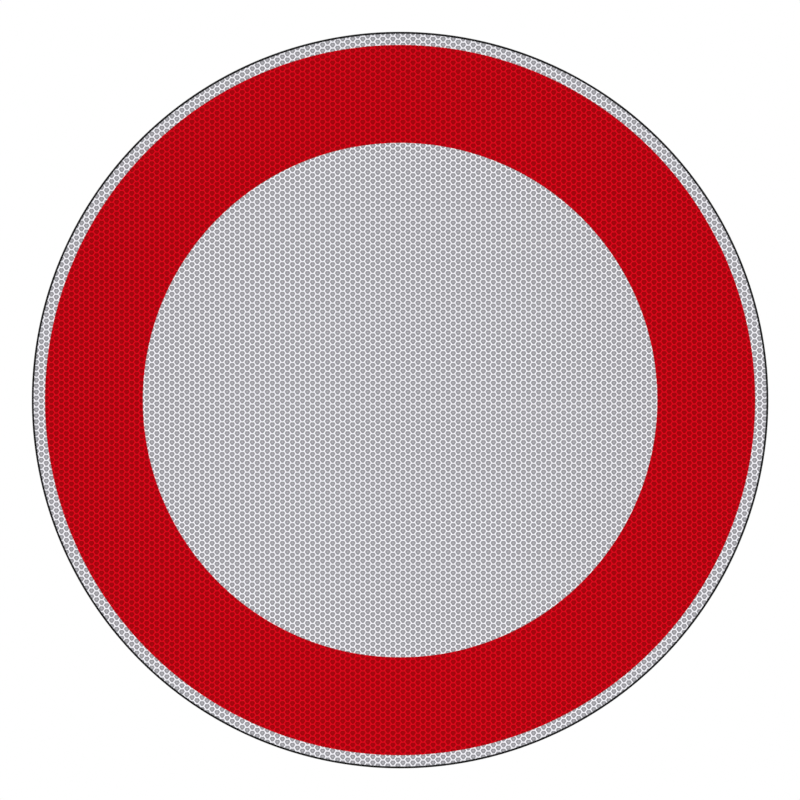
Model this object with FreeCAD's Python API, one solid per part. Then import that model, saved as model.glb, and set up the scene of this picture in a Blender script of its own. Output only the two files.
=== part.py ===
"""A round no vehicles road sign with a retroreflective face, as bought ready to clamp to a post.

All sizes are in millimetres. The face looks along -Y and +Z is up. The origin is on the sign's
axis, in the plane of the two rails' rear faces, where the post clamps bear.
"""

import FreeCAD
import Part
import math
import os

Vector = FreeCAD.Vector

CENTRE = Vector(0, 0, 0)
SIGN_AXIS = Vector(0, 1, 0)
ALONG_RAIL = Vector(1, 0, 0)
QUARTER_TURN = 90.0
FULL_TURN = 360.0

# Face: the nominal circle runs down the middle of the rim's wall
sign_diameter = 600.0
white_margin = 10.0
red_band_width = 80.0
red_film_thickness = 0.1
sheeting_thickness = 0.4
blank_thickness = 2.0
blank_clearance = 0.1

# Rim: one extruded section, rolled into a ring whose ends meet at the bottom. They touch along the
# front of the wall and stand a little apart behind it
rim_wall = 1.5
rim_flange_width = 14.0
rim_seat_thickness = 1.2
rim_rear_flange_thickness = 1.5
rim_lip_thickness = 1.3
rim_lip_length = 3.0
rim_edge_proud = 0.3
rim_rear_chamfer = 1.0
rim_joint_gap = 0.8
rim_joint_touch = 1.5

# Splice: a flat curved bar inside the rim, across its joint
splice_length = 72.0
splice_thickness = 1.5
splice_side_clearance = 0.4
splice_rivet_spacing = 42.0

# Rails: two lipped channels that take the post clamps' bolts
rail_spacing = 300.0
rail_depth = 18.0
rail_channel_width = 30.0
rail_wing_width = 9.0
rail_base_thickness = 2.0
rail_wall = 2.0
rail_lip_thickness = 2.5
rail_mouth_width = 12.0
rail_hook_depth = 1.2
rail_hook_width = 1.6
rail_inside_corner = 1.0
rail_edge_round = 0.5
rail_end_clearance = 3.0
rail_stand_out = 2.0

# Bonding tape: two strips under each rail, out to the edges of its base
tape_thickness = 1.1
tape_strip_gap = 8.0

# Blind rivets, the same size everywhere
rivet_shank_diameter = 4.0
rivet_head_diameter = 8.0
rivet_crown_diameter = 5.4
rivet_head_height = 1.1
rivet_bulb_diameter = 5.8
rivet_bulb_length = 3.6
rivet_mandrel_diameter = 2.2
rivet_mandrel_recess = 0.7
rivet_hole_clearance = 0.05
countersink_angle = 120.0
rail_rivet_end_distance = 18.0

# Radii of the face and the rim
nominal_radius = sign_diameter / 2
rim_outer_radius = nominal_radius + rim_wall / 2
rim_wall_inner_radius = rim_outer_radius - rim_wall
rim_flange_inner_radius = rim_outer_radius - rim_flange_width
rim_lip_outer_radius = rim_flange_inner_radius + rim_lip_thickness
blank_radius = rim_wall_inner_radius - blank_clearance
red_outer_radius = nominal_radius - white_margin
red_inner_radius = red_outer_radius - red_band_width

# Depths along Y, from the rear plane of the rails forward to the face
rail_front_y = -rail_depth
blank_back_y = rail_front_y - tape_thickness
blank_front_y = blank_back_y - blank_thickness
face_y = blank_front_y - sheeting_thickness
rim_front_y = face_y - rim_edge_proud
rim_seat_back_y = blank_back_y + rim_seat_thickness
rim_rear_y = -rail_stand_out
rim_rear_flange_y = rim_rear_y - rim_rear_flange_thickness
rail_wing_back_y = rail_front_y + rail_base_thickness

# The rails end just inside the rim, where their outer corners would meet it
rail_base_width = rail_channel_width + 2 * rail_wing_width
rail_far_edge = rail_spacing / 2 + rail_base_width / 2
rail_reach_radius = rim_flange_inner_radius - rail_end_clearance
rail_half_length = math.sqrt(rail_reach_radius ** 2 - rail_far_edge ** 2)

# Rivets sit in the middle of the rails' wings and of the splice
rail_rivet_offset = rail_channel_width / 2 + rail_wing_width / 2
rail_rivet_x = rail_half_length - rail_rivet_end_distance
splice_inner_radius = rim_lip_outer_radius + splice_side_clearance
splice_outer_radius = rim_wall_inner_radius - splice_side_clearance
splice_rivet_radius = (splice_inner_radius + splice_outer_radius) / 2
rivet_hole_radius = rivet_shank_diameter / 2 + rivet_hole_clearance
countersink_depth = (rivet_head_diameter - rivet_shank_diameter) / 2 / math.tan(
    math.radians(countersink_angle / 2)
)


def section_beside_axis(corners):
    """A flat face from (radius, y) corners, drawn to the right of the sign's axis."""
    points = [Vector(radius, depth, 0) for radius, depth in corners]
    return Part.Face(Part.makePolygon(points + points[:1]))


def section_across_rail(corners):
    """A flat face from (height, y, round) corners, each rounded by an arc of its own radius."""
    points = [Vector(0, depth, height) for height, depth, _ in corners]
    starts = []
    ends = []
    arcs = []
    for index, corner in enumerate(corners):
        here = points[index]
        back = (points[index - 1] - here).normalize()
        ahead = (points[(index + 1) % len(points)] - here).normalize()
        radius = corner[2]
        if radius == 0:
            starts.append(here)
            ends.append(here)
            arcs.append(None)
            continue
        half = back.getAngle(ahead) / 2
        tangent = radius / math.tan(half)
        bisector = (back + ahead).normalize()
        crown = here + bisector * (radius / math.sin(half) - radius)
        starts.append(here + back * tangent)
        ends.append(here + ahead * tangent)
        arcs.append(Part.Arc(starts[-1], crown, ends[-1]).toShape())
    edges = []
    for index, arc in enumerate(arcs):
        if arc is not None:
            edges.append(arc)
        edges.append(Part.LineSegment(ends[index], starts[(index + 1) % len(starts)]).toShape())
    return Part.Face(Part.Wire(edges))


def disc(radius, front_y, thickness):
    """A flat disc on the sign's axis, from its front plane backwards."""
    return Part.makeCylinder(radius, thickness, Vector(0, front_y, 0), SIGN_AXIS)


def arc_degrees(length, radius):
    """The angle of a length measured round the sign's axis."""
    return math.degrees(length / radius)


def turned_from_bottom(shape, degrees):
    """The shape, drawn to the right of the axis, turned to the sign's lowest point and past it."""
    turned = shape.copy()
    turned.rotate(CENTRE, SIGN_AXIS, QUARTER_TURN + degrees)
    return turned


def rivet_set(grip, head_corners):
    """A set blind rivet along Y, whose bulb starts where the grip ends.

    head_corners outline its head from the shank's surface round to the axis, as (radius, y).
    """
    bulb = rivet_bulb_diameter / 2
    bulb_end = grip + rivet_bulb_length
    bulb_corners = [
        (0, bulb_end),
        (bulb, bulb_end),
        (bulb, grip),
        (rivet_shank_diameter / 2, grip),
    ]
    outline = section_beside_axis(head_corners + bulb_corners)
    return outline.revolve(CENTRE, SIGN_AXIS, FULL_TURN)


def countersunk_rivet(grip):
    """A rivet whose head lies flush in the blank, with its flat face at y = 0."""
    shank = rivet_shank_diameter / 2
    head = rivet_head_diameter / 2
    return rivet_set(grip, [(shank, countersink_depth), (head, 0), (0, 0)])


def pan_head_rivet(grip):
    """A rivet whose head seats at y = 0, with the broken mandrel's recess in its crown."""
    shank = rivet_shank_diameter / 2
    head = rivet_head_diameter / 2
    crown = rivet_crown_diameter / 2
    mandrel = rivet_mandrel_diameter / 2
    recess_y = rivet_mandrel_recess - rivet_head_height
    head_corners = [
        (shank, 0),
        (head, 0),
        (crown, -rivet_head_height),
        (mandrel, -rivet_head_height),
        (mandrel, recess_y),
        (0, recess_y),
    ]
    return rivet_set(grip, head_corners)


def rail_rivet_places(level):
    """The rivet centres (x, z) of the rail at this level, at the ends of its wing nearer the axis."""
    wing_middle = level - math.copysign(rail_rivet_offset, level)
    return [(-rail_rivet_x, wing_middle), (rail_rivet_x, wing_middle)]


def rivet_holes(places, front_y, length):
    """Round holes for rivet shanks, as one shape to cut away."""
    return Part.makeCompound(
        [
            Part.makeCylinder(rivet_hole_radius, length, Vector(x, front_y, z), SIGN_AXIS)
            for x, z in places
        ]
    )


def make_face_blank():
    """The aluminium disc behind the sheeting, countersunk for the rail rivets."""
    blank = disc(blank_radius, blank_front_y, blank_thickness)
    wide = rivet_head_diameter / 2
    narrow = rivet_shank_diameter / 2
    for level in (rail_spacing / 2, -rail_spacing / 2):
        places = rail_rivet_places(level)
        blank = blank.cut(rivet_holes(places, blank_front_y, blank_thickness))
        for x, z in places:
            middle = Vector(x, blank_front_y, z)
            blank = blank.cut(Part.makeCone(wide, narrow, countersink_depth, middle, SIGN_AXIS))
    return blank


def make_reflective_sheeting():
    """The white honeycomb sheeting, which covers the whole blank."""
    return disc(blank_radius, face_y, sheeting_thickness)


def make_red_band():
    """The clear red film that lies on the sheeting as a ring."""
    front_y = face_y - red_film_thickness
    whole = disc(red_outer_radius, front_y, red_film_thickness)
    return whole.cut(disc(red_inner_radius, front_y, red_film_thickness))


def make_rim_profile():
    """The edge section: a wall round the face, a seat for the blank and a channel behind it."""
    lip_face = rim_rear_flange_y - rim_lip_length
    seat_lip_face = rim_seat_back_y + rim_lip_length
    corners = [
        (rim_outer_radius, rim_front_y),
        (rim_outer_radius, rim_rear_y - rim_rear_chamfer),
        (rim_outer_radius - rim_rear_chamfer, rim_rear_y),
        (rim_flange_inner_radius, rim_rear_y),
        (rim_flange_inner_radius, lip_face),
        (rim_lip_outer_radius, lip_face),
        (rim_lip_outer_radius, rim_rear_flange_y),
        (rim_wall_inner_radius, rim_rear_flange_y),
        (rim_wall_inner_radius, rim_seat_back_y),
        (rim_lip_outer_radius, rim_seat_back_y),
        (rim_lip_outer_radius, seat_lip_face),
        (rim_flange_inner_radius, seat_lip_face),
        (rim_flange_inner_radius, blank_back_y),
        (rim_wall_inner_radius, blank_back_y),
        (rim_wall_inner_radius, rim_front_y),
    ]
    start = turned_from_bottom(section_beside_axis(corners), 0)
    ring = start.revolve(CENTRE, SIGN_AXIS, FULL_TURN)
    gap_y = rim_front_y + rim_joint_touch
    corner = Vector(-rim_joint_gap / 2, gap_y, -nominal_radius - rim_flange_width)
    gap = Part.makeBox(rim_joint_gap, rim_rear_y - gap_y, 2 * rim_flange_width, corner)
    holes = [splice_hole(angle) for angle in splice_rivet_angles()]
    return ring.cut(Part.makeCompound(holes + [gap]))


def splice_rivet_angles():
    """Where the splice's rivets stand, one on each side of the rim's joint, in degrees from it."""
    angle = arc_degrees(splice_rivet_spacing / 2, splice_rivet_radius)
    return [-angle, angle]


def splice_hole(angle):
    """A rivet hole through the rim's rear flange and the splice."""
    depth = rim_rear_flange_thickness + splice_thickness
    front = Vector(splice_rivet_radius, rim_rear_flange_y - splice_thickness, 0)
    return turned_from_bottom(Part.makeCylinder(rivet_hole_radius, depth, front, SIGN_AXIS), angle)


def make_rim_splice():
    """The curved flat bar that lies on the rear flange's inner face, across the rim's joint."""
    front_y = rim_rear_flange_y - splice_thickness
    corners = [
        (splice_inner_radius, front_y),
        (splice_outer_radius, front_y),
        (splice_outer_radius, rim_rear_flange_y),
        (splice_inner_radius, rim_rear_flange_y),
    ]
    half = arc_degrees(splice_length / 2, splice_rivet_radius)
    bar = turned_from_bottom(section_beside_axis(corners), -half)
    bar = bar.revolve(CENTRE, SIGN_AXIS, 2 * half)
    holes = [splice_hole(angle) for angle in splice_rivet_angles()]
    return bar.cut(Part.makeCompound(holes))


def make_splice_rivets():
    """Pan head rivets behind the rear flange, their bulbs inside the rim's channel."""
    rivet = pan_head_rivet(rim_rear_flange_thickness + splice_thickness)
    rivet.rotate(CENTRE, ALONG_RAIL, 2 * QUARTER_TURN)
    rivet.translate(Vector(splice_rivet_radius, rim_rear_y, 0))
    return Part.makeCompound([turned_from_bottom(rivet, angle) for angle in splice_rivet_angles()])


def make_rail(level):
    """A lipped channel with a riveting wing on each side, cut square at both ends."""
    base = rail_base_width / 2
    outside = rail_channel_width / 2
    inside = outside - rail_wall
    mouth = rail_mouth_width / 2
    hook = mouth + rail_hook_width
    lip_y = -rail_lip_thickness
    hook_y = lip_y - rail_hook_depth
    upper_half = [
        (base, rail_front_y, rail_edge_round),
        (base, rail_wing_back_y, rail_edge_round),
        (outside, rail_wing_back_y, rail_inside_corner),
        (outside, 0, rail_inside_corner),
        (mouth, 0, rail_edge_round),
        (mouth, hook_y, 0),
        (hook, hook_y, 0),
        (hook, lip_y, 0),
        (inside, lip_y, rail_inside_corner),
        (inside, rail_wing_back_y, rail_inside_corner),
    ]
    lower_half = [(-across, depth, corner) for across, depth, corner in reversed(upper_half)]
    bar = section_across_rail(upper_half + lower_half).extrude(ALONG_RAIL * 2 * rail_half_length)
    bar.translate(Vector(-rail_half_length, 0, level))
    return bar.cut(rivet_holes(rail_rivet_places(level), rail_front_y, rail_base_thickness))


def make_rail_tape(level):
    """Two strips of foam tape, which fill the space between a rail's base and the blank."""
    strips = []
    width = (rail_base_width - tape_strip_gap) / 2
    for low in (level + tape_strip_gap / 2, level - rail_base_width / 2):
        corner = Vector(-rail_half_length, blank_back_y, low)
        strips.append(Part.makeBox(2 * rail_half_length, tape_thickness, width, corner))
    holes = rivet_holes(rail_rivet_places(level), blank_back_y, tape_thickness)
    return Part.makeCompound([strip.cut(holes) for strip in strips])


def make_rail_rivets(level):
    """Rivets with flush heads under the sheeting and bulbs on the rail's wings."""
    rivet = countersunk_rivet(blank_thickness + tape_thickness + rail_base_thickness)
    rivets = []
    for x, z in rail_rivet_places(level):
        placed = rivet.copy()
        placed.translate(Vector(x, blank_front_y, z))
        rivets.append(placed)
    return Part.makeCompound(rivets)


def make_sign():
    """Every piece of the sign by its name."""
    upper = rail_spacing / 2
    return {
        "face_blank": make_face_blank(),
        "reflective_sheeting": make_reflective_sheeting(),
        "red_band": make_red_band(),
        "rim_profile": make_rim_profile(),
        "rim_splice": make_rim_splice(),
        "splice_rivets": make_splice_rivets(),
        "upper_rail": make_rail(upper),
        "lower_rail": make_rail(-upper),
        "upper_rail_tape": make_rail_tape(upper),
        "lower_rail_tape": make_rail_tape(-upper),
        "upper_rail_rivets": make_rail_rivets(upper),
        "lower_rail_rivets": make_rail_rivets(-upper),
    }


os.makedirs("parts", exist_ok=True)
pieces = make_sign()
for name, shape in pieces.items():
    shape.exportStep("parts/" + name + ".step")
    print(name, "valid", shape.isValid(), "solids", len(shape.Solids), "cm3", round(shape.Volume / 1000, 2))
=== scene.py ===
"""Looks of a round no vehicles sign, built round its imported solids.

Every size is in metres, in the solids' own frame: the face looks along -Y, +Z is up, and the
origin is in the plane of the two rails' rear faces.
"""

import logging
import math
from collections.abc import Callable, Iterator
from contextlib import contextmanager
from dataclasses import dataclass
from enum import Enum

import bmesh
import bpy
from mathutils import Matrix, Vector


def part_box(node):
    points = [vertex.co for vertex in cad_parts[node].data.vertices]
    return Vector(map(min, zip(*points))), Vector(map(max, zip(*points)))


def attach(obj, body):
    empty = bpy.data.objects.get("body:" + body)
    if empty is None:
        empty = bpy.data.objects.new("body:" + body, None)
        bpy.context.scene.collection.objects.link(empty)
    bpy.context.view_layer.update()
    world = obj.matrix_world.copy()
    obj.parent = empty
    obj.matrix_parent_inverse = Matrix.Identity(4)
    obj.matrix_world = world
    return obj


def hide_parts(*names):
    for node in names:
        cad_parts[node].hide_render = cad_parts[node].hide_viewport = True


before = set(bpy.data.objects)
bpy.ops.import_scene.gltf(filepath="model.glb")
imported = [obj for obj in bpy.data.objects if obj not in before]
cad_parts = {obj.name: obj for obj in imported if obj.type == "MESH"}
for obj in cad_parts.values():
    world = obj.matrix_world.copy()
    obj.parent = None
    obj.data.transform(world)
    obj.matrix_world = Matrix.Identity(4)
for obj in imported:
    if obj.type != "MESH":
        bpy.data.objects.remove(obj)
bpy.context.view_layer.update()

BODY = "root"
MM = 0.001
SAME_PLACE = 0.002 * MM
FULL_TURN = 2 * math.pi
QUARTER_TURN = math.pi / 2

# A face looks along an axis if its normal's share along it is over the first value, and stands
# across it if the share is under the second
LOOKS_ALONG = 0.9
STANDS_ACROSS = 0.5

# Edges that turn more than the first angle are rounded, and more than the second stay sharp
ROUNDED_TURN = math.radians(25)
SHARP_TURN = math.radians(35)
ROUNDING_FACES = 2

Colour = tuple[float, float, float]
Place = tuple[float, float, float]
Pair = tuple[float, float]
Piece = bpy.types.Object
Socket = bpy.types.NodeSocket
MeshPart = bmesh.types.BMVert | bmesh.types.BMEdge | bmesh.types.BMFace

# Nearly all of a noise's values lie in this range
MOST_OF_NOISE: Pair = (0.3, 0.7)

log = logging.getLogger("no_vehicles_sign")


class Element(Enum):
    """What an edit picks: the select mode's name, and the name of its list in the edit mesh."""

    VERTEX = ("VERT", "verts")
    EDGE = ("EDGE", "edges")
    FACE = ("FACE", "faces")


def middle_of(part: MeshPart) -> Vector:
    """Finds the middle of a vertex, edge or face.

    Args:
        part: the vertex, edge or face.

    Returns:
        The mean of its corners.
    """
    if isinstance(part, bmesh.types.BMVert):
        return part.co
    if isinstance(part, bmesh.types.BMEdge):
        return (part.verts[0].co + part.verts[1].co) / 2
    return part.calc_center_median()


def from_axis(place: Vector) -> float:
    """A place's distance from the sign's axis."""
    return math.hypot(place.x, place.z)


def clear_selection() -> None:
    """Deselects every object."""
    bpy.ops.object.select_all(action="DESELECT")


def take_up(piece: Piece) -> None:
    """Selects one piece alone and makes it the active one.

    Args:
        piece: the piece.
    """
    clear_selection()
    piece.select_set(True)
    bpy.context.view_layer.objects.active = piece


def name_new_piece(name: str) -> Piece:
    """Names what a primitive operator has just added, and puts its place into its mesh.

    Args:
        name: the piece's name.

    Returns:
        The piece, at the origin, unturned and unscaled.
    """
    piece = bpy.context.active_object
    piece.name = name
    piece.data.name = name
    bpy.ops.object.transform_apply(location=True, rotation=True, scale=True)
    return piece


@contextmanager
def editing(piece: Piece) -> Iterator[None]:
    """Holds one piece in edit mode.

    Args:
        piece: the mesh to edit.

    Returns:
        A context, at whose end the piece is in object mode again.
    """
    take_up(piece)
    bpy.ops.object.mode_set(mode="EDIT")
    yield
    bpy.ops.object.mode_set(mode="OBJECT")


def pick(piece: Piece, element: Element, test: Callable[..., bool]) -> int:
    """Selects the vertices, edges or faces that pass a test, and nothing else.

    Args:
        piece: the mesh in edit mode.
        element: what to pick.
        test: says whether one element is picked.

    Returns:
        How many were picked.
    """
    mode, members = element.value
    bpy.ops.mesh.select_mode(type=mode)
    bpy.ops.mesh.select_all(action="DESELECT")
    mesh = bmesh.from_edit_mesh(piece.data)
    picked = [part for part in getattr(mesh, members) if test(part)]
    for part in picked:
        part.select_set(True)
    bmesh.update_edit_mesh(piece.data)
    return len(picked)


def pick_at(piece: Piece, element: Element, places: list[Vector]) -> int:
    """Picks the elements whose middles are at given places, and nothing else.

    Args:
        piece: the mesh in edit mode.
        element: what to pick.
        places: where the middles are.

    Returns:
        How many were picked.
    """
    return pick(
        piece,
        element,
        lambda part: any((middle_of(part) - place).length < SAME_PLACE for place in places),
    )


def point_outwards() -> None:
    """Turns the faces of the mesh in edit mode outwards."""
    bpy.ops.mesh.select_all(action="SELECT")
    bpy.ops.mesh.normals_make_consistent(inside=False)


def add_modifier(piece: Piece, kind: str, **settings: object) -> None:
    """Adds a modifier and applies it at once.

    Args:
        piece: the mesh that it works on.
        kind: the modifier's type.
        settings: its settings by name.
    """
    take_up(piece)
    modifier = piece.modifiers.new(kind.lower(), kind)
    for name, value in settings.items():
        setattr(modifier, name, value)
    bpy.ops.object.modifier_apply(modifier=modifier.name)


def round_edges(piece: Piece, width: float) -> None:
    """Rounds a piece's sharp edges and shades it smooth between them.

    Args:
        piece: the mesh to finish.
        width: the rounding's width.
    """
    add_modifier(
        piece, "BEVEL", width=width, segments=ROUNDING_FACES, limit_method="ANGLE",
        angle_limit=ROUNDED_TURN, harden_normals=False,
    )
    take_up(piece)
    bpy.ops.object.shade_smooth_by_angle(angle=SHARP_TURN)


def dress(piece: Piece, material: bpy.types.Material) -> None:
    """Gives a piece one material in place of any that it has."""
    piece.data.materials.clear()
    piece.data.materials.append(material)


def seat(piece: Piece, slot: str, *nodes: str) -> None:
    """Rides a finished piece on the sign, in place of the solids that it stands for.

    Args:
        piece: the finished mesh.
        slot: the record's material slot; not used.
        nodes: the solids that it replaces.
    """
    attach(piece, BODY)
    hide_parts(*nodes)
    piece.data.calc_loop_triangles()
    count = len(piece.data.loop_triangles)
    log.info("%s: %d triangles, for %s", piece.name, count, ", ".join(nodes))


def set_range(node: bpy.types.Node, over: Pair, from_range: Pair) -> None:
    """Sets the ends of a Map Range node.

    Args:
        node: the node.
        over: what the low and high ends of its value become.
        from_range: the value's low and high ends.
    """
    for name, end in zip(("From Min", "From Max", "To Min", "To Max"), (*from_range, *over)):
        node.inputs[name].default_value = end


@dataclass(frozen=True)
class Grain:
    """The grain of a noise.

    Attributes:
        size: one grain's length along x, y and z.
        detail: how many finer layers it has.
        strength: how strong they are.
        height: how high it stands, where it is a bump.
    """

    size: Place
    detail: float = 2.0
    strength: float = 0.5
    height: float = 0.0


class Recipe:
    """A new material, with its shader and its object coordinates at hand."""

    def __init__(self, name: str, **values: object) -> None:
        """Starts a material with one Principled shader.

        Args:
            name: the material's name.
            values: the shader's plain values by socket, with underscores for spaces.
        """
        self.material = bpy.data.materials.new(name)
        self.material.use_nodes = True
        self.nodes = self.material.node_tree.nodes
        self.links = self.material.node_tree.links
        self.shader = self.nodes["Principled BSDF"]
        self.place = self.nodes.new("ShaderNodeTexCoord").outputs["Object"]
        for socket, value in values.items():
            self.shader.inputs[socket.replace("_", " ")].default_value = value

    def feed(self, source: Socket, socket: str) -> None:
        """Links a value to a socket of the shader."""
        self.links.new(source, self.shader.inputs[socket])

    def stretched(self, size: Place) -> Socket:
        """Divides the object coordinates by a length along each axis.

        Args:
            size: the lengths.

        Returns:
            The divided coordinates.
        """
        mapping = self.nodes.new("ShaderNodeMapping")
        mapping.inputs["Scale"].default_value = tuple(1 / length for length in size)
        self.links.new(self.place, mapping.inputs["Vector"])
        return mapping.outputs["Vector"]

    def noise(self, grain: Grain) -> Socket:
        """Makes a noise.

        Args:
            grain: its grain.

        Returns:
            The noise, from 0 to 1.
        """
        texture = self.nodes.new("ShaderNodeTexNoise")
        self.links.new(self.stretched(grain.size), texture.inputs["Vector"])
        texture.inputs["Scale"].default_value = 1.0
        texture.inputs["Detail"].default_value = grain.detail
        texture.inputs["Roughness"].default_value = grain.strength
        return texture.outputs["Fac"]

    def cells(self, size: float) -> Socket:
        """Makes a pattern of scattered cells, as beads or bubbles have it.

        Args:
            size: the mean size of one cell.

        Returns:
            The distance from the nearest cell's middle, in cells.
        """
        texture = self.nodes.new("ShaderNodeTexVoronoi")
        self.links.new(self.stretched((size, size, size)), texture.inputs["Vector"])
        texture.inputs["Scale"].default_value = 1.0
        return texture.outputs["Distance"]

    def spread(self, source: Socket, over: Pair, from_range: Pair = (0.0, 1.0)) -> Socket:
        """Spreads a value over another range.

        Args:
            source: the value.
            over: what its low and high ends become.
            from_range: its low and high ends.

        Returns:
            The spread value.
        """
        spread = self.nodes.new("ShaderNodeMapRange")
        self.links.new(source, spread.inputs["Value"])
        set_range(spread, over, from_range)
        return spread.outputs["Result"]

    def shades(self, source: Socket, dark: Colour, light: Colour) -> None:
        """Lets a noise choose between two base colours.

        Args:
            source: the noise.
            dark: the colour at its low end.
            light: the colour at its high end.
        """
        ramp = self.nodes.new("ShaderNodeValToRGB")
        for stop, place, colour in zip(ramp.color_ramp.elements, MOST_OF_NOISE, (dark, light)):
            stop.position = place
            stop.color = (*colour, 1.0)
        self.links.new(source, ramp.inputs["Fac"])
        self.feed(ramp.outputs["Color"], "Base Color")

    def relief(self, source: Socket, height: float, below: Socket | None = None) -> Socket:
        """Raises a pattern as a bump.

        Args:
            source: the pattern.
            height: how high its value of 1 stands.
            below: another bump's normal, to raise this one on.

        Returns:
            The bent normal.
        """
        bump = self.nodes.new("ShaderNodeBump")
        bump.inputs["Strength"].default_value = 1.0
        bump.inputs["Distance"].default_value = height
        self.links.new(source, bump.inputs["Height"])
        if below is not None:
            self.links.new(below, bump.inputs["Normal"])
        return bump.outputs["Normal"]


@dataclass(frozen=True)
class CellTone:
    """One tone of the sheeting, with fine glass beads under a clear glossy film.

    Attributes:
        name: the material's name.
        colour: the tone by daylight; in the slopes it holds painted shade, and in the middles a
            painted highlight.
        bead_height: how high the beads stand in it.
        roughness: the mean roughness below the film.
        patchiness: how far the roughness of its patches goes to either side of the mean.
        bead_size: one bead.
        patches: the patches' grain.
    """

    name: str
    colour: Colour
    bead_height: float
    roughness: float
    patchiness: float = 0.08
    bead_size: float = 0.12 * MM
    patches: Grain = Grain((3 * MM,) * 3)

    def material(self) -> bpy.types.Material:
        """Makes the tone's material.

        Returns:
            The material.
        """
        recipe = Recipe(
            self.name, Base_Color=(*self.colour, 1.0), Specular_IOR_Level=0.0, Coat_Weight=0.6,
            Coat_Roughness=0.06, Coat_IOR=1.5,
        )
        beads = recipe.cells(self.bead_size)
        patches = recipe.noise(self.patches)
        roughness = (self.roughness - self.patchiness, self.roughness + self.patchiness)
        recipe.feed(recipe.spread(patches, roughness), "Roughness")
        recipe.feed(recipe.relief(beads, self.bead_height), "Normal")
        return recipe.material


# The walls keep the sheeting's own colour. Each slope's colour is the cell's own colour darkened by
# painted shade where the floor dips from the walls, and each middle's colour is the cell's own
# colour lightened by a painted highlight of the beads' retroreflection.
WHITE_TONES = (
    CellTone("white_wall", (0.94, 0.93, 0.98), 0.004 * MM, 0.35),
    CellTone("white_slope_with_painted_shade", (0.30, 0.297, 0.32), 0.01 * MM, 0.4),
    CellTone("white_middle_with_painted_highlight", (0.46, 0.455, 0.485), 0.01 * MM, 0.4),
)
RED_TONES = (
    CellTone("red_wall", (0.735, 0.0025, 0.012), 0.004 * MM, 0.35),
    CellTone("red_slope_with_painted_shade", (0.35, 0.0015, 0.003), 0.01 * MM, 0.4),
    CellTone("red_middle_with_painted_highlight", (0.375, 0.002, 0.006), 0.01 * MM, 0.4),
)


@dataclass(frozen=True)
class PowderCoat:
    """Black powder coat with a fine orange peel, and some patches duller than others."""

    name: str = "rim_powder_coat"
    colour: Colour = (0.003, 0.003, 0.0033)
    roughness: Pair = (0.26, 0.42)
    peel: Grain = Grain((1.1 * MM,) * 3, detail=1.5, height=0.012 * MM)
    patches: Grain = Grain((45 * MM,) * 3, detail=3)

    def material(self) -> bpy.types.Material:
        """Makes the coat's material.

        Returns:
            The material.
        """
        recipe = Recipe(self.name, Base_Color=(*self.colour, 1.0), Specular_IOR_Level=0.3)
        peel = recipe.noise(self.peel)
        patches = recipe.noise(self.patches)
        recipe.feed(recipe.spread(patches, self.roughness, MOST_OF_NOISE), "Roughness")
        recipe.feed(recipe.relief(peel, self.peel.height), "Normal")
        return recipe.material


@dataclass(frozen=True)
class BareAluminium:
    """Aluminium without a coat, with its roughness where it is brightest and dullest."""

    name: str
    dark: Colour
    light: Colour
    roughness: Pair


@dataclass(frozen=True)
class MillAluminium(BareAluminium):
    """Rolled sheet as it leaves the mill: a grain along X, faint stains and a few scratches.

    Attributes:
        stain_share: the stains' share in its tone, the rest of which is grain.
        scratched: where in the scratches' noise one begins and where it is deepest.
    """

    name: str = "blank_mill_finish"
    dark: Colour = (0.44, 0.45, 0.465)
    light: Colour = (0.56, 0.57, 0.58)
    roughness: Pair = (0.34, 0.52)
    grain: Grain = Grain((60 * MM, 60 * MM, 0.5 * MM), detail=3)
    stains: Grain = Grain((90 * MM, 90 * MM, 55 * MM), detail=4)
    stain_share: float = 0.5
    lines: Grain = Grain((25 * MM, 25 * MM, 0.12 * MM), height=0.003 * MM)
    scratches: Grain = Grain((30 * MM, 1 * MM, 0.35 * MM), detail=0, height=0.004 * MM)
    scratched: Pair = (0.62, 0.7)

    def material(self) -> bpy.types.Material:
        """Makes the sheet's material.

        Returns:
            The material.
        """
        recipe = Recipe(self.name, Metallic=1.0)
        stains = recipe.spread(recipe.noise(self.stains), (0.0, self.stain_share))
        tone = recipe.nodes.new("ShaderNodeMath")
        tone.operation = "MULTIPLY_ADD"
        recipe.links.new(recipe.noise(self.grain), tone.inputs[0])
        tone.inputs[1].default_value = 1 - self.stain_share
        recipe.links.new(stains, tone.inputs[2])
        recipe.shades(tone.outputs["Value"], self.dark, self.light)
        lines = recipe.noise(self.lines)
        recipe.feed(recipe.spread(lines, self.roughness), "Roughness")
        scratches = recipe.spread(recipe.noise(self.scratches), (0.0, 1.0), self.scratched)
        ribbed = recipe.relief(lines, self.lines.height)
        recipe.feed(recipe.relief(scratches, self.scratches.height, ribbed), "Normal")
        return recipe.material


@dataclass(frozen=True)
class ExtrudedAluminium(BareAluminium):
    """Extruded bar: fine straight draw lines along X, broad bands of tone and a slight satin.

    Attributes:
        line_range: the range of the lines' noise that the roughness is spread over.
    """

    name: str = "rail_extruded"
    dark: Colour = (0.66, 0.67, 0.68)
    light: Colour = (0.76, 0.765, 0.77)
    roughness: Pair = (0.24, 0.46)
    lines: Grain = Grain((900 * MM, 0.35 * MM, 0.35 * MM), 3, strength=0.6, height=0.008 * MM)
    line_range: Pair = (0.25, 0.75)
    bands: Grain = Grain((400 * MM, 4 * MM, 4 * MM))

    def material(self) -> bpy.types.Material:
        """Makes the bar's material.

        Returns:
            The material.
        """
        recipe = Recipe(self.name, Metallic=1.0)
        lines = recipe.noise(self.lines)
        recipe.shades(recipe.noise(self.bands), self.dark, self.light)
        recipe.feed(recipe.spread(lines, self.roughness, self.line_range), "Roughness")
        recipe.feed(recipe.relief(lines, self.lines.height), "Normal")
        return recipe.material


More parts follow.
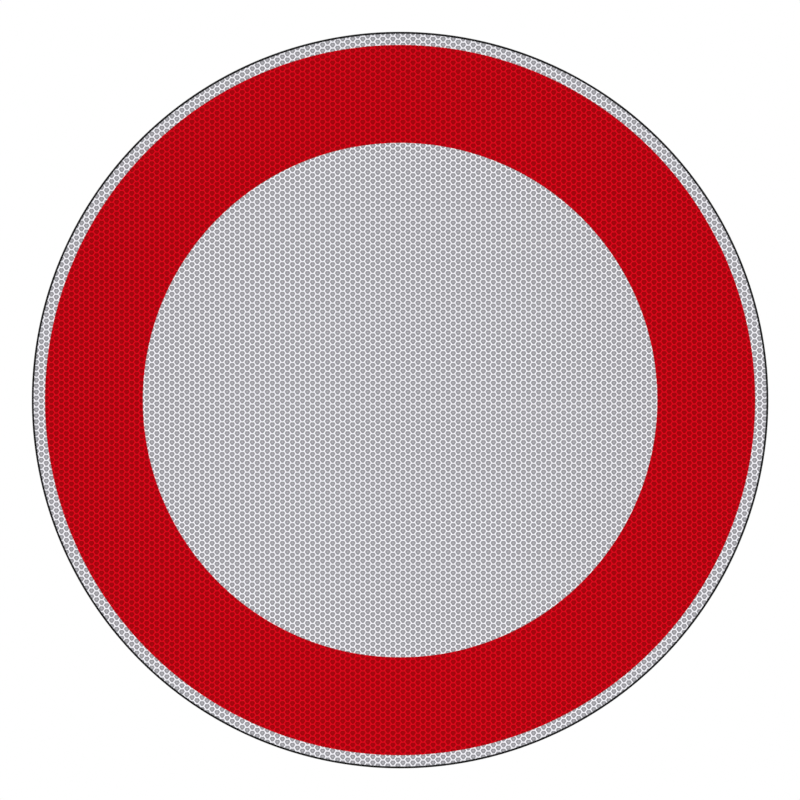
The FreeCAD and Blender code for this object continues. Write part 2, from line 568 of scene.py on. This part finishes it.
@dataclass(frozen=True)
class DrawnAluminium(BareAluminium):
    """Drawn wire: bright, with faint marks of the setting tool."""

    name: str = "rivet_bright"
    dark: Colour = (0.54, 0.54, 0.55)
    light: Colour = (0.66, 0.66, 0.67)
    roughness: Pair = (0.25, 0.45)
    marks: Grain = Grain((0.8 * MM,) * 3, detail=3, height=0.01 * MM)

    def material(self) -> bpy.types.Material:
        """Makes the wire's material.

        Returns:
            The material.
        """
        recipe = Recipe(self.name, Metallic=1.0)
        marks = recipe.noise(self.marks)
        recipe.shades(marks, self.dark, self.light)
        recipe.feed(recipe.spread(marks, self.roughness), "Roughness")
        recipe.feed(recipe.relief(marks, self.marks.height), "Normal")
        return recipe.material


@dataclass(frozen=True)
class FoamTape:
    """Dark closed-cell foam, cut clean."""

    name: str = "tape_foam"
    dark: Colour = (0.035, 0.035, 0.038)
    light: Colour = (0.065, 0.065, 0.07)
    mottle: Grain = Grain((2 * MM,) * 3, detail=4)
    bubble_size: float = 0.35 * MM
    bubble_height: float = 0.12 * MM

    def material(self) -> bpy.types.Material:
        """Makes the foam's material.

        Returns:
            The material.
        """
        recipe = Recipe(self.name, Roughness=0.92, Specular_IOR_Level=0.25)
        recipe.shades(recipe.noise(self.mottle), self.dark, self.light)
        recipe.feed(recipe.relief(recipe.cells(self.bubble_size), self.bubble_height), "Normal")
        return recipe.material


@dataclass(frozen=True)
class PaleFloor:
    """A plain matte floor."""

    name: str = "floor_pale"
    colour: Colour = (0.94, 0.94, 0.94)

    def material(self) -> bpy.types.Material:
        """Makes the floor's material.

        Returns:
            The material.
        """
        base = (*self.colour, 1.0)
        return Recipe(self.name, Base_Color=base, Roughness=0.9, Specular_IOR_Level=0.0).material


@dataclass(frozen=True)
class SixCorners:
    """An outline within a cell, in the face's plane: flat at the top and narrower at the bottom.

    Attributes:
        top: half the top edge's length.
        bottom: half the bottom edge's length.
        side: half the width between the side corners.
        top_height: the top edge's height over the cell's middle.
        bottom_depth: the bottom edge's depth under it.
        side_height: the side corners' height over it.
    """

    top: float
    bottom: float
    side: float
    top_height: float
    bottom_depth: float
    side_height: float

    def corners(self, level: float) -> dict[str, Vector]:
        """Places the corners.

        Args:
            level: their place along Y.

        Returns:
            The six by name, from the lower right one, anticlockwise seen from the front.
        """
        return {
            "lower_right": Vector((self.bottom, level, -self.bottom_depth)),
            "right": Vector((self.side, level, self.side_height)),
            "upper_right": Vector((self.top, level, self.top_height)),
            "upper_left": Vector((-self.top, level, self.top_height)),
            "left": Vector((-self.side, level, self.side_height)),
            "lower_left": Vector((-self.bottom, level, -self.bottom_depth)),
        }


class Zone(Enum):
    """A coloured field of the face: the piece's name, its slot, and the solids it replaces."""

    WHITE_CENTRE = ("white_centre", "white_sheeting", ("reflective_sheeting",))
    RED_RING = ("red_ring", "red_film", ("red_band", "reflective_sheeting"))
    WHITE_MARGIN = ("white_margin", "white_sheeting", ("reflective_sheeting",))


class CellPart(Enum):
    """A part of a honeycomb cell, with its material slot's number."""

    WALL = 0
    SLOPE = 1
    MIDDLE = 2


@dataclass
class HoneycombFace:
    """The sheeting: one honeycomb over the whole face, cut along circles into its three zones.

    Attributes:
        column: the distance from one column of cells to the next.
        row: the distance from one cell to the next up a column.
        first_cell: x and z of one cell's middle.
        first_turn: how far the cell is first turned, so that two of its corners are at the sides.
        first_inset: how far its middle is first inset, before the corners go to their places.
        floor: the outline inside the cell walls.
        core: the outline of the flat middle.
        recess: how far the middle lies behind the walls.
        front: the walls' place along Y, which in the red ring is red_front.
        back: the back's place along Y.
    """

    column: float = 4.101 * MM
    row: float = 4.844 * MM
    first_cell: Pair = (2.364 * MM, -0.645 * MM)
    first_turn: float = math.radians(30)
    first_inset: float = 0.8 * MM
    floor: SixCorners = SixCorners(1.36 * MM, 0.68 * MM, 2.31 * MM, 1.85 * MM, 2.14 * MM, 0.09 * MM)
    core: SixCorners = SixCorners(0.40 * MM, 0.30 * MM, 0.98 * MM, 0.79 * MM, 0.66 * MM, 0.0)
    recess: float = 0.06 * MM
    red_inner_radius: float = 210 * MM
    red_outer_radius: float = 290 * MM
    radius: float = 299.15 * MM
    cutter_sides: int = 360
    cutter_depth: float = 4 * MM
    front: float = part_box("reflective_sheeting")[0].y
    back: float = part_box("reflective_sheeting")[1].y
    red_front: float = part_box("red_band")[0].y

    def build(self) -> None:
        """Models the honeycomb, cuts it into its three zones and dresses them."""
        sheet = self.model_cell()
        self.repeat(sheet)
        for radius in (self.red_inner_radius, self.red_outer_radius, self.radius):
            self.cut_round(sheet, radius)
        self.trim(sheet)
        whites = [tone.material() for tone in WHITE_TONES]
        reds = [tone.material() for tone in RED_TONES]
        centre = self.take_inside(sheet, self.red_inner_radius, Zone.WHITE_CENTRE)
        ring = self.take_inside(sheet, self.red_outer_radius, Zone.RED_RING)
        sheet.name = Zone.WHITE_MARGIN.value[0]
        for piece, zone, tones in (
            (centre, Zone.WHITE_CENTRE, whites),
            (ring, Zone.RED_RING, reds),
            (sheet, Zone.WHITE_MARGIN, whites),
        ):
            self.close(piece, holed=zone is not Zone.WHITE_CENTRE)
            if zone is Zone.RED_RING:
                self.raise_front(piece)
            for number, material in enumerate(tones):
                piece.data.materials[number] = material
            seat(piece, zone.value[1], *zone.value[2])

    def model_cell(self) -> Piece:
        """Models one cell, with the walls on three of its sides and the corners between them.

        Returns:
            The cell, with its middle at the first cell's place.
        """
        floor = self.floor.corners(self.front)
        clear_selection()
        bpy.ops.mesh.primitive_circle_add(
            vertices=len(floor), radius=self.floor.side, fill_type="NGON",
            location=(0, self.front, 0), rotation=(QUARTER_TURN, self.first_turn, 0),
        )
        cell = name_new_piece("honeycomb")
        for part in CellPart:
            cell.data.materials.append(bpy.data.materials.new(part.name.lower()))
        core_level = self.front + self.recess
        with editing(cell):
            bpy.ops.mesh.select_all(action="SELECT")
            self.shape_face(cell, floor)
            pick(cell, Element.FACE, lambda face: True)
            bpy.ops.mesh.inset(thickness=self.first_inset, depth=0.0)
            self.shape_face(cell, self.core.corners(core_level))
            pick(cell, Element.FACE, lambda face: middle_of(face).y < core_level - SAME_PLACE)
            self.assign(cell, CellPart.SLOPE)
            pick(cell, Element.FACE, lambda face: middle_of(face).y > core_level - SAME_PLACE)
            self.assign(cell, CellPart.MIDDLE)
            self.add_walls(cell)
            bpy.ops.mesh.select_all(action="SELECT")
            bpy.ops.transform.translate(value=(self.first_cell[0], 0, self.first_cell[1]))
        return cell

    def shape_face(self, cell: Piece, corners: dict[str, Vector]) -> None:
        """Moves the selected face's corners to their places, in their order round its middle.

        Args:
            cell: the mesh in edit mode.
            corners: the places, anticlockwise from straight below.
        """
        mesh = bmesh.from_edit_mesh(cell.data)
        face = next(face for face in mesh.faces if face.select)
        now = sorted(
            (corner.co.copy() for corner in face.verts),
            key=lambda place: (math.atan2(place.z, place.x) + QUARTER_TURN) % FULL_TURN,
        )
        for old, new in zip(now, corners.values()):
            pick_at(cell, Element.VERTEX, [old])
            bpy.ops.transform.translate(value=new - old)

    def assign(self, cell: Piece, part: CellPart) -> None:
        """Gives the selected faces the slot of one part of the cell."""
        cell.active_material_index = part.value
        bpy.ops.object.material_slot_assign()

    def add_walls(self, cell: Piece) -> None:
        """Fills the walls between the cell and copies of it above, upper right and lower right.

        Args:
            cell: the mesh in edit mode, with its middle at the origin.
        """
        above = Vector((0, 0, self.row))
        upper = Vector((self.column, 0, self.row / 2))
        lower = Vector((self.column, 0, -self.row / 2))
        for shift in (above, upper, lower):
            pick(cell, Element.FACE, lambda face: from_axis(middle_of(face)) < self.row / 2)
            bpy.ops.mesh.duplicate_move(TRANSFORM_OT_translate={"value": shift})
        at = self.floor.corners(self.front)
        above_left = at["lower_left"] + above
        above_right = at["lower_right"] + above
        walls = (
            (at["upper_left"], at["upper_right"], above_right, above_left),
            (at["upper_right"], at["right"], at["lower_left"] + upper, at["left"] + upper),
            (at["right"], at["lower_right"], at["left"] + lower, at["upper_left"] + lower),
            (at["upper_right"], above_right, at["left"] + upper),
            (at["right"], at["lower_left"] + upper, at["upper_left"] + lower),
        )
        for corners in walls:
            pick_at(cell, Element.VERTEX, list(corners))
            bpy.ops.mesh.edge_face_add()
            self.assign(cell, CellPart.WALL)
        pick(
            cell, Element.FACE,
            lambda face: face.material_index != CellPart.WALL.value
            and from_axis(middle_of(face)) > self.row / 2,
        )
        bpy.ops.mesh.delete(type="FACE")

    def repeat(self, cell: Piece) -> None:
        """Repeats the cell over the whole face: a pair of columns, then pairs across, then rows.

        Args:
            cell: the cell's mesh.
        """
        half_width = math.ceil(self.radius / (2 * self.column)) + 1
        half_height = math.ceil(self.radius / self.row) + 1
        corner = (-half_width * 2 * self.column, 0, -half_height * self.row)
        with editing(cell):
            bpy.ops.mesh.select_all(action="SELECT")
            bpy.ops.transform.translate(value=corner)
        for count, step in (
            (2, (self.column, 0, self.row / 2)),
            (2 * half_width + 1, (2 * self.column, 0, 0)),
            (2 * half_height + 1, (0, 0, self.row)),
        ):
            add_modifier(
                cell, "ARRAY", count=count, use_relative_offset=False, use_constant_offset=True,
                constant_offset_displace=step, use_merge_vertices=True,
                merge_threshold=SAME_PLACE,
            )

    def cut_round(self, sheet: Piece, radius: float) -> None:
        """Cuts the sheet's faces along a circle.

        Args:
            sheet: the honeycomb.
            radius: the circle's radius.
        """
        with editing(sheet):
            bpy.ops.mesh.select_all(action="DESELECT")
            bpy.ops.mesh.primitive_cylinder_add(
                vertices=self.cutter_sides, radius=radius, depth=self.cutter_depth,
                end_fill_type="NOTHING", location=(0, self.front, 0),
                rotation=(QUARTER_TURN, 0, 0),
            )
            bpy.ops.mesh.intersect(mode="SELECT_UNSELECT", separate_mode="NONE", solver="FAST")
            pick(sheet, Element.FACE, lambda face: abs(face.normal.y) < STANDS_ACROSS)
            bpy.ops.mesh.delete(type="FACE")
            bpy.ops.mesh.select_all(action="SELECT")
            bpy.ops.mesh.delete_loose()

    def trim(self, sheet: Piece) -> None:
        """Deletes what lies outside the face, and levels corners that the cuts left in front.

        Args:
            sheet: the honeycomb.
        """
        with editing(sheet):
            pick(sheet, Element.FACE, lambda face: from_axis(middle_of(face)) > self.radius)
            bpy.ops.mesh.delete(type="FACE")
            pick(sheet, Element.VERTEX, lambda corner: corner.co.y < self.front)
            bpy.ops.transform.resize(value=(1, 0, 1), center_override=(0, self.front, 0))

    def take_inside(self, sheet: Piece, radius: float, zone: Zone) -> Piece:
        """Separates what lies inside a circle from the sheet.

        Args:
            sheet: the honeycomb.
            radius: the circle's radius.
            zone: the zone that the new piece is.

        Returns:
            The new piece.
        """
        with editing(sheet):
            pick(sheet, Element.FACE, lambda face: from_axis(middle_of(face)) < radius)
            bpy.ops.mesh.separate(type="SELECTED")
        piece = next(other for other in bpy.context.selected_objects if other is not sheet)
        piece.name = zone.value[0]
        piece.data.name = zone.value[0]
        return piece

    def close(self, piece: Piece, holed: bool) -> None:
        """Closes a zone with a rim at its edges and a flat back.

        Args:
            piece: the zone's open front.
            holed: whether it is a ring.
        """
        with editing(piece):
            bpy.ops.mesh.select_mode(type="EDGE")
            bpy.ops.mesh.select_all(action="DESELECT")
            bpy.ops.mesh.select_non_manifold(
                extend=False, use_wire=False, use_multi_face=False,
                use_non_contiguous=False, use_verts=False,
            )
            bpy.ops.mesh.extrude_edges_move()
            bpy.ops.transform.resize(value=(1, 0, 1), center_override=(0, self.back, 0))
            if holed:
                bpy.ops.mesh.bridge_edge_loops()
            else:
                bpy.ops.mesh.edge_face_add()
            point_outwards()

    def raise_front(self, ring: Piece) -> None:
        """Brings the red ring's front forward by the film's thickness.

        Args:
            ring: the closed ring.
        """
        halfway = (self.front + self.recess + self.back) / 2
        with editing(ring):
            pick(ring, Element.VERTEX, lambda corner: corner.co.y < halfway)
            bpy.ops.transform.translate(value=(0, self.red_front - self.front, 0))


@dataclass
class RimProfile:
    """The black rim: an extruded section with a seat and a rear flange, rolled into a ring.

    Its ends meet at the bottom. They touch along the front of the wall and stand apart behind it.

    Attributes:
        flange_width: how far both flanges reach inwards, measured from the outer radius.
        seat_thickness: the thickness of the flange that the blank sits on.
        lip_length: how far the lips at the flanges' ends reach towards each other.
        joint_gap: how far the ends stand apart.
        joint_touch: how far back from the front they touch.
    """

    outer_radius: float = 300.75 * MM
    wall: float = 1.5 * MM
    flange_width: float = 14.0 * MM
    seat_thickness: float = 1.2 * MM
    rear_thickness: float = 1.5 * MM
    lip_thickness: float = 1.3 * MM
    lip_length: float = 3.0 * MM
    rear_chamfer: float = 1.0 * MM
    joint_gap: float = 0.8 * MM
    joint_touch: float = 1.5 * MM
    edge_rounding: float = 0.1 * MM
    steps: int = 360
    front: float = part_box("rim_profile")[0].y
    rear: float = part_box("rim_profile")[1].y
    blank_back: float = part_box("face_blank")[1].y

    def build(self) -> None:
        """Models the section, rolls it and coats it."""
        clear_selection()
        bpy.ops.mesh.primitive_plane_add(size=1.0, location=(self.across(), self.touch_level(), 0))
        bpy.context.active_object.scale = (self.wall, self.joint_touch, 1.0)
        rim = name_new_piece("rolled_rim")
        with editing(rim):
            self.grow_section(rim)
            self.roll()
            self.join_front(rim)
            point_outwards()
        self.turn_joint_down(rim)
        round_edges(rim, self.edge_rounding)
        dress(rim, PowderCoat().material())
        seat(rim, "rim_coating", "rim_profile")

    def across(self) -> float:
        """The middle of the wall, as distance from the axis."""
        return self.outer_radius - self.wall / 2

    def touch_level(self) -> float:
        """The place along Y of the middle of what touches at the joint."""
        return self.front + self.joint_touch / 2

    def at_joint(self, place: Vector) -> bool:
        """Whether a place is at the joint, before the ring is turned."""
        return place.x > 0 and abs(place.z) < 2 * self.joint_gap

    def grow_section(self, rim: Piece) -> None:
        """Grows the whole section from the front of the wall.

        Args:
            rim: the section in edit mode, with the front of its wall only.
        """
        inner = self.outer_radius - self.wall
        edge = self.outer_radius - self.flange_width
        gap_start = self.front + self.joint_touch
        seat_rear = self.blank_back + self.seat_thickness
        flange_front = self.rear - self.rear_thickness
        for level, length in (
            (gap_start, self.blank_back - gap_start),
            (self.blank_back, self.seat_thickness),
            (seat_rear, flange_front - seat_rear),
            (flange_front, self.rear_thickness),
        ):
            self.grow(rim, (self.across(), level), (0, length))
        for low, high, lip_level, lip_way in (
            (self.blank_back, seat_rear, seat_rear, 1),
            (flange_front, self.rear, flange_front, -1),
        ):
            middle = (low + high) / 2
            lip_middle = edge + self.lip_thickness / 2
            self.grow(rim, (inner, middle), (edge + self.lip_thickness - inner, 0))
            self.grow(rim, (edge + self.lip_thickness, middle), (-self.lip_thickness, 0))
            self.grow(rim, (lip_middle, lip_level), (0, lip_way * self.lip_length))
        pick_at(rim, Element.VERTEX, [Vector((self.outer_radius, self.rear, 0))])
        bpy.ops.mesh.bevel(offset=self.rear_chamfer, affect="VERTICES", segments=1)

    def grow(self, rim: Piece, at: Pair, by: Pair) -> None:
        """Extrudes one edge of the section.

        Args:
            rim: the section in edit mode.
            at: the edge's middle, as distance from the axis and place along Y.
            by: how far it goes, in the same two directions.
        """
        found = pick_at(rim, Element.EDGE, [Vector((*at, 0))])
        if found != 1:
            raise ValueError(f"{found} edges of the section at {at}")
        bpy.ops.mesh.extrude_region_move(TRANSFORM_OT_translate={"value": (*by, 0)})

    def roll(self) -> None:
        """Rolls the section in edit mode round the sign's axis, nearly all the way."""
        bpy.ops.mesh.select_all(action="SELECT")
        bpy.ops.mesh.spin(
            steps=self.steps, angle=FULL_TURN - self.joint_gap / self.outer_radius,
            center=(0, 0, 0), axis=(0, 1, 0),
        )
        bpy.ops.mesh.select_all(action="SELECT")
        bpy.ops.mesh.remove_doubles(threshold=SAME_PLACE)

    def join_front(self, rim: Piece) -> None:
        """Joins the ring's two ends along the front of the wall, where they touch.

        Args:
            rim: the ring in edit mode, with its joint on the X axis.
        """
        found = pick(
            rim, Element.FACE,
            lambda face: abs(face.normal.z) > LOOKS_ALONG
            and abs(middle_of(face).y - self.touch_level()) < SAME_PLACE
            and self.at_joint(middle_of(face)),
        )
        if found != 2:
            raise ValueError(f"{found} ends of the wall at the joint")
        bpy.ops.mesh.delete(type="ONLY_FACE")
        pick(rim, Element.EDGE, lambda edge: len(edge.link_faces) == 1)
        bpy.ops.mesh.bridge_edge_loops()

    def turn_joint_down(self, rim: Piece) -> None:
        """Turns the ring until its joint is straight below the axis.

        Args:
            rim: the ring, with its joint near the X axis.
        """
        joint = Vector((0, 0, 0))
        for corner in rim.data.vertices:
            if corner.co.x > self.across() and self.at_joint(corner.co):
                joint += Vector((corner.co.x, 0, corner.co.z))
        take_up(rim)
        rim.rotation_euler.y = QUARTER_TURN - math.atan2(-joint.z, joint.x)
        bpy.ops.object.transform_apply(location=False, rotation=True, scale=False)


@dataclass
class BlindRivets:
    """A node's two rivets, one to either side: one is turned, and copied to their places.

    Attributes:
        name: the piece's name.
        node: the solid that it replaces.
        stations: the turned profile from front to rear, as places along Y and radii.
        x: their x, to either side.
        z: their z.
    """

    name: str
    node: str
    stations: list[Pair]
    x: float
    z: float
    sides: int = 40
    edge_rounding: float = 0.08 * MM

    def build(self, material: bpy.types.Material) -> None:
        """Turns one rivet, copies it and dresses the pair.

        Args:
            material: the rivets' finish.
        """
        first = self.turn()
        round_edges(first, self.edge_rounding)
        copies = []
        for x in (-self.x, self.x):
            take_up(first)
            bpy.ops.object.duplicate()
            copy = bpy.context.active_object
            copy.location = (x, 0, self.z)
            bpy.ops.object.transform_apply(location=True, rotation=False, scale=False)
            copies.append(copy)
        bpy.data.objects.remove(first)
        pair = copies[0]
        take_up(pair)
        for copy in copies:
            copy.select_set(True)
        bpy.ops.object.join()
        pair.name = self.name
        pair.data.name = self.name
        dress(pair, material)
        seat(pair, "rivet_aluminium", self.node)

    def turn(self) -> Piece:
        """Turns one rivet on the sign's axis, by extruding a circle from station to station.

        Returns:
            The closed rivet.
        """
        start, radius = self.stations[0]
        clear_selection()
        bpy.ops.mesh.primitive_circle_add(
            vertices=self.sides, radius=radius, fill_type="NGON",
            location=(0, start, 0), rotation=(QUARTER_TURN, 0, 0),
        )
        rivet = name_new_piece("turned_rivet")
        with editing(rivet):
            bpy.ops.mesh.select_mode(type="FACE")
            bpy.ops.mesh.select_all(action="SELECT")
            for (before, last), (level, width) in zip(self.stations, self.stations[1:]):
                step = (0, level - before, 0)
                ratio = width / last
                bpy.ops.mesh.extrude_region_move(TRANSFORM_OT_translate={"value": step})
                bpy.ops.transform.resize(value=(ratio, 1, ratio), center_override=(0, level, 0))
            point_outwards()
        return rivet


def stations_from(level: float, profile: tuple[Pair, ...]) -> list[Pair]:
    """Places part of a rivet's turned profile.

    Args:
        level: where along Y it is measured from.
        profile: each station's offset along Y and its radius, in millimetres.

    Returns:
        Each station's place along Y and its radius.
    """
    return [(level + offset * MM, radius * MM) for offset, radius in profile]


@dataclass
class Fastenings:
    """The rivets through the rails and through the rim's splice.

    Each profile gives offsets along Y from one level, and radii, in millimetres.

    Attributes:
        rail_rivet_x: the rail rivets' x, to either side.
        rail_rivet_z: their z, up and down.
        splice_rivet_x: the splice rivets' x, to either side.
        splice_rivet_radius: their distance from the axis.
        wing_thickness: the thickness of the rail's wing, which the rail rivets go through.
        head_height: the height of the splice rivets' heads.
        sunk_head: the rail rivets' heads, from the face's side.
        rail_bulb: their bulbs, from the wing's back.
        splice_tail: the splice rivets' front ends, from the very front.
        splice_bulb: their bulbs where they meet the splice, from its front.
        splice_head: their heads, from the rim's rear flange.
        head_recess: the recess in the heads with the mandrel's end, from the crown.
    """

    rail_rivet_x: float = 206.14 * MM
    rail_rivet_z: float = 130.5 * MM
    splice_rivet_x: float = 20.98 * MM
    splice_rivet_radius: float = 293.65 * MM
    wing_thickness: float = 2.0 * MM
    head_height: float = 1.1 * MM
    sunk_head: tuple[Pair, ...] = ((0.0, 3.95), (1.13, 2.0))
    rail_bulb: tuple[Pair, ...] = (
        (0.0, 2.0), (0.02, 2.55), (0.5, 2.85), (1.5, 2.9), (2.4, 2.6), (3.0, 2.0),
        (3.15, 1.45), (3.45, 1.3), (3.6, 0.8),
    )
    splice_tail: tuple[Pair, ...] = (
        (0.0, 0.8), (0.2, 1.3), (0.5, 1.45), (0.7, 2.0), (1.3, 2.6), (2.2, 2.9),
    )
    splice_bulb: tuple[Pair, ...] = ((-0.4, 2.85), (-0.02, 2.5), (0.0, 2.0))
    splice_head: tuple[Pair, ...] = ((0.0, 2.0), (0.01, 3.9), (0.3, 4.0), (0.75, 3.3), (1.0, 2.4))
    head_recess: tuple[Pair, ...] = (
        (0.0, 1.5), (-0.05, 1.15), (-0.7, 1.1), (-0.62, 0.95), (-0.35, 0.9), (-0.25, 0.6),
    )

    def build(self) -> None:
        """Models and dresses the three pairs."""
        finish = DrawnAluminium().material()
        wing_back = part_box("upper_rail")[0].y + self.wing_thickness
        rail_stations = [
            *stations_from(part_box("upper_rail_rivets")[0].y, self.sunk_head),
            *stations_from(wing_back, self.rail_bulb),
        ]
        for side, z in (("upper", self.rail_rivet_z), ("lower", -self.rail_rivet_z)):
            name, node = f"{side}_rail_blind_rivets", f"{side}_rail_rivets"
            BlindRivets(name, node, rail_stations, self.rail_rivet_x, z).build(finish)
        tail, crown = (corner.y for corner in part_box("splice_rivets"))
        stations = [
            *stations_from(tail, self.splice_tail),
            *stations_from(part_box("rim_splice")[0].y, self.splice_bulb),
            *stations_from(crown - self.head_height, self.splice_head),
            *stations_from(crown, self.head_recess),
        ]
        x = self.splice_rivet_x
        z = -math.sqrt(self.splice_rivet_radius**2 - x**2)
        BlindRivets("splice_blind_rivets", "splice_rivets", stations, x, z).build(finish)


@dataclass
class CarriedSolids:
    """The solids that are shown as they are: those of sheet, the rails, and the tapes."""

    sheet: tuple[str, ...] = ("face_blank", "rim_splice")
    rails: tuple[str, ...] = ("upper_rail", "lower_rail")
    tapes: tuple[str, ...] = ("upper_rail_tape", "lower_rail_tape")

    def build(self) -> None:
        """Dresses each solid."""
        for finish, nodes in (
            (MillAluminium(), self.sheet),
            (ExtrudedAluminium(), self.rails),
            (FoamTape(), self.tapes),
        ):
            material = finish.material()
            for node in nodes:
                dress(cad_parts[node], material)
                log.info("%s: dressed with %s", node, finish.name)


@dataclass(frozen=True)
class Lamp:
    """A broad lamp: its name, the side that its light comes from, and its strength."""

    name: str
    source: Place
    strength: float


@dataclass(frozen=True)
class SkyFade:
    """A fade in the sky that glossy surfaces show.

    Attributes:
        axis: the axis that it runs along.
        strength: the sky's strength before it and past it.
        between: where along the axis it starts and ends, from -1 to 1.
    """

    axis: str
    strength: Pair
    between: Pair


@dataclass
class Studio:
    """The camera in front of the face, soft even light, a white sky and a pale floor.

    Attributes:
        view_width: how much of the face's plane the picture spans.
        camera_place: the camera's place, a hair off the sign's axis, because the sign isn't quite
            in the picture's middle.
        sensor: the sensor's width, in millimetres.
        lamp_angle: how broad each lamp looks.
        sky_light: the sky's strength to matte surfaces.
        sky_fades: the two fades, multiplied together, of the sky that glossy surfaces show.
    """

    view_width: float = 653.24 * MM
    camera_place: Place = (-0.07 * MM, -4.0, 0.062 * MM)
    sensor: float = 36.0
    clip_end: float = 100.0
    lamps: tuple[Lamp, ...] = (
        Lamp("key", (-0.45, -1.0, 0.75), 1.225),
        Lamp("fill", (0.9, -1.0, 0.25), 0.715),
        Lamp("back_key", (0.6, 1.0, 0.9), 0.85),
        Lamp("back_fill", (-0.9, 1.0, 0.3), 0.3),
    )
    lamp_angle: float = math.radians(60)
    lamp_distance: float = 3.0
    sky_light: float = 0.548
    sky_fades: tuple[SkyFade, ...] = (
        SkyFade("Y", strength=(0.01, 1.0), between=(-0.92, -0.5)),
        SkyFade("Z", strength=(0.42, 1.0), between=(-0.1, 0.9)),
    )
    floor_middle: Place = (0.0, 1.9, -0.9)
    floor_radius: float = 2.5
    floor_sides: int = 96

    def build(self) -> None:
        """Sets up the camera, the lamps, the sky and the floor."""
        self.add_camera()
        for lamp in self.lamps:
            self.add_lamp(lamp)
        self.paint_sky()
        self.add_floor()
        bpy.context.scene.view_settings.view_transform = "Standard"

    def add_camera(self) -> None:
        """Puts a long lens straight in front of the face."""
        bpy.ops.object.camera_add(location=self.camera_place, rotation=(QUARTER_TURN, 0, 0))
        camera = bpy.context.active_object
        to_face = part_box("reflective_sheeting")[0].y - self.camera_place[1]
        camera.data.sensor_width = self.sensor
        camera.data.lens = self.sensor * to_face / self.view_width
        camera.data.clip_end = self.clip_end
        bpy.context.scene.camera = camera

    def add_lamp(self, lamp: Lamp) -> None:
        """Adds one broad lamp, far away.

        Args:
            lamp: its name, side and strength.
        """
        source = Vector(lamp.source)
        bpy.ops.object.light_add(type="SUN", location=source.normalized() * self.lamp_distance)
        added = bpy.context.active_object
        added.name = lamp.name
        added.data.energy = lamp.strength
        added.data.angle = self.lamp_angle
        added.rotation_euler = source.to_track_quat("Z", "Y").to_euler()

    def paint_sky(self) -> None:
        """Makes the sky white to the camera and even to matte surfaces.

        To glossy surfaces it is dark in front of the face, and behind it goes from grey at the
        horizon to white overhead, so that bare metal reads as metal.
        """
        world = bpy.data.worlds.new("studio_sky")
        world.use_nodes = True
        bpy.context.scene.world = world
        tree = world.node_tree
        tree.nodes.clear()
        white = self.add_background(tree, 1.0)
        mirrored = self.add_background(tree, 1.0)
        tree.links.new(self.add_fades(tree), mirrored.inputs["Strength"])
        path = tree.nodes.new("ShaderNodeLightPath")
        shown = self.add_background(tree, self.sky_light).outputs["Background"]
        for ray, sky in (
            ("Is Glossy Ray", mirrored), ("Is Transmission Ray", white), ("Is Camera Ray", white),
        ):
            mix = tree.nodes.new("ShaderNodeMixShader")
            tree.links.new(path.outputs[ray], mix.inputs["Fac"])
            tree.links.new(shown, mix.inputs[1])
            tree.links.new(sky.outputs["Background"], mix.inputs[2])
            shown = mix.outputs["Shader"]
        output = tree.nodes.new("ShaderNodeOutputWorld")
        tree.links.new(shown, output.inputs["Surface"])

    def add_background(self, tree: bpy.types.NodeTree, strength: float) -> bpy.types.Node:
        """Adds a white background.

        Args:
            tree: the sky's nodes.
            strength: the background's strength.

        Returns:
            Its node.
        """
        background = tree.nodes.new("ShaderNodeBackground")
        background.inputs["Color"].default_value = (1, 1, 1, 1)
        background.inputs["Strength"].default_value = strength
        return background

    def add_fades(self, tree: bpy.types.NodeTree) -> Socket:
        """Adds the two fades of the sky that glossy surfaces show.

        Args:
            tree: the sky's nodes.

        Returns:
            Their product.
        """
        direction = tree.nodes.new("ShaderNodeTexCoord")
        split = tree.nodes.new("ShaderNodeSeparateXYZ")
        tree.links.new(direction.outputs["Generated"], split.inputs["Vector"])
        product = tree.nodes.new("ShaderNodeMath")
        product.operation = "MULTIPLY"
        for number, sky in enumerate(self.sky_fades):
            fade = tree.nodes.new("ShaderNodeMapRange")
            fade.interpolation_type = "SMOOTHSTEP"
            set_range(fade, sky.strength, sky.between)
            tree.links.new(split.outputs[sky.axis], fade.inputs["Value"])
            tree.links.new(fade.outputs["Result"], product.inputs[number])
        return product.outputs["Value"]

    def add_floor(self) -> None:
        """Lays a round pale floor well below the sign, most of it behind the face."""
        clear_selection()
        bpy.ops.mesh.primitive_circle_add(
            vertices=self.floor_sides, radius=self.floor_radius, fill_type="NGON",
            location=self.floor_middle,
        )
        floor = name_new_piece("floor")
        dress(floor, PaleFloor().material())


def main() -> None:
    """Builds the sign's looks and the studio."""
    logging.basicConfig(level=logging.INFO, format="%(message)s")
    for assembly in (Studio(), HoneycombFace(), RimProfile(), Fastenings(), CarriedSolids()):
        log.info("building %s", type(assembly).__name__)
        assembly.build()


if __name__ == "__main__":
    main()
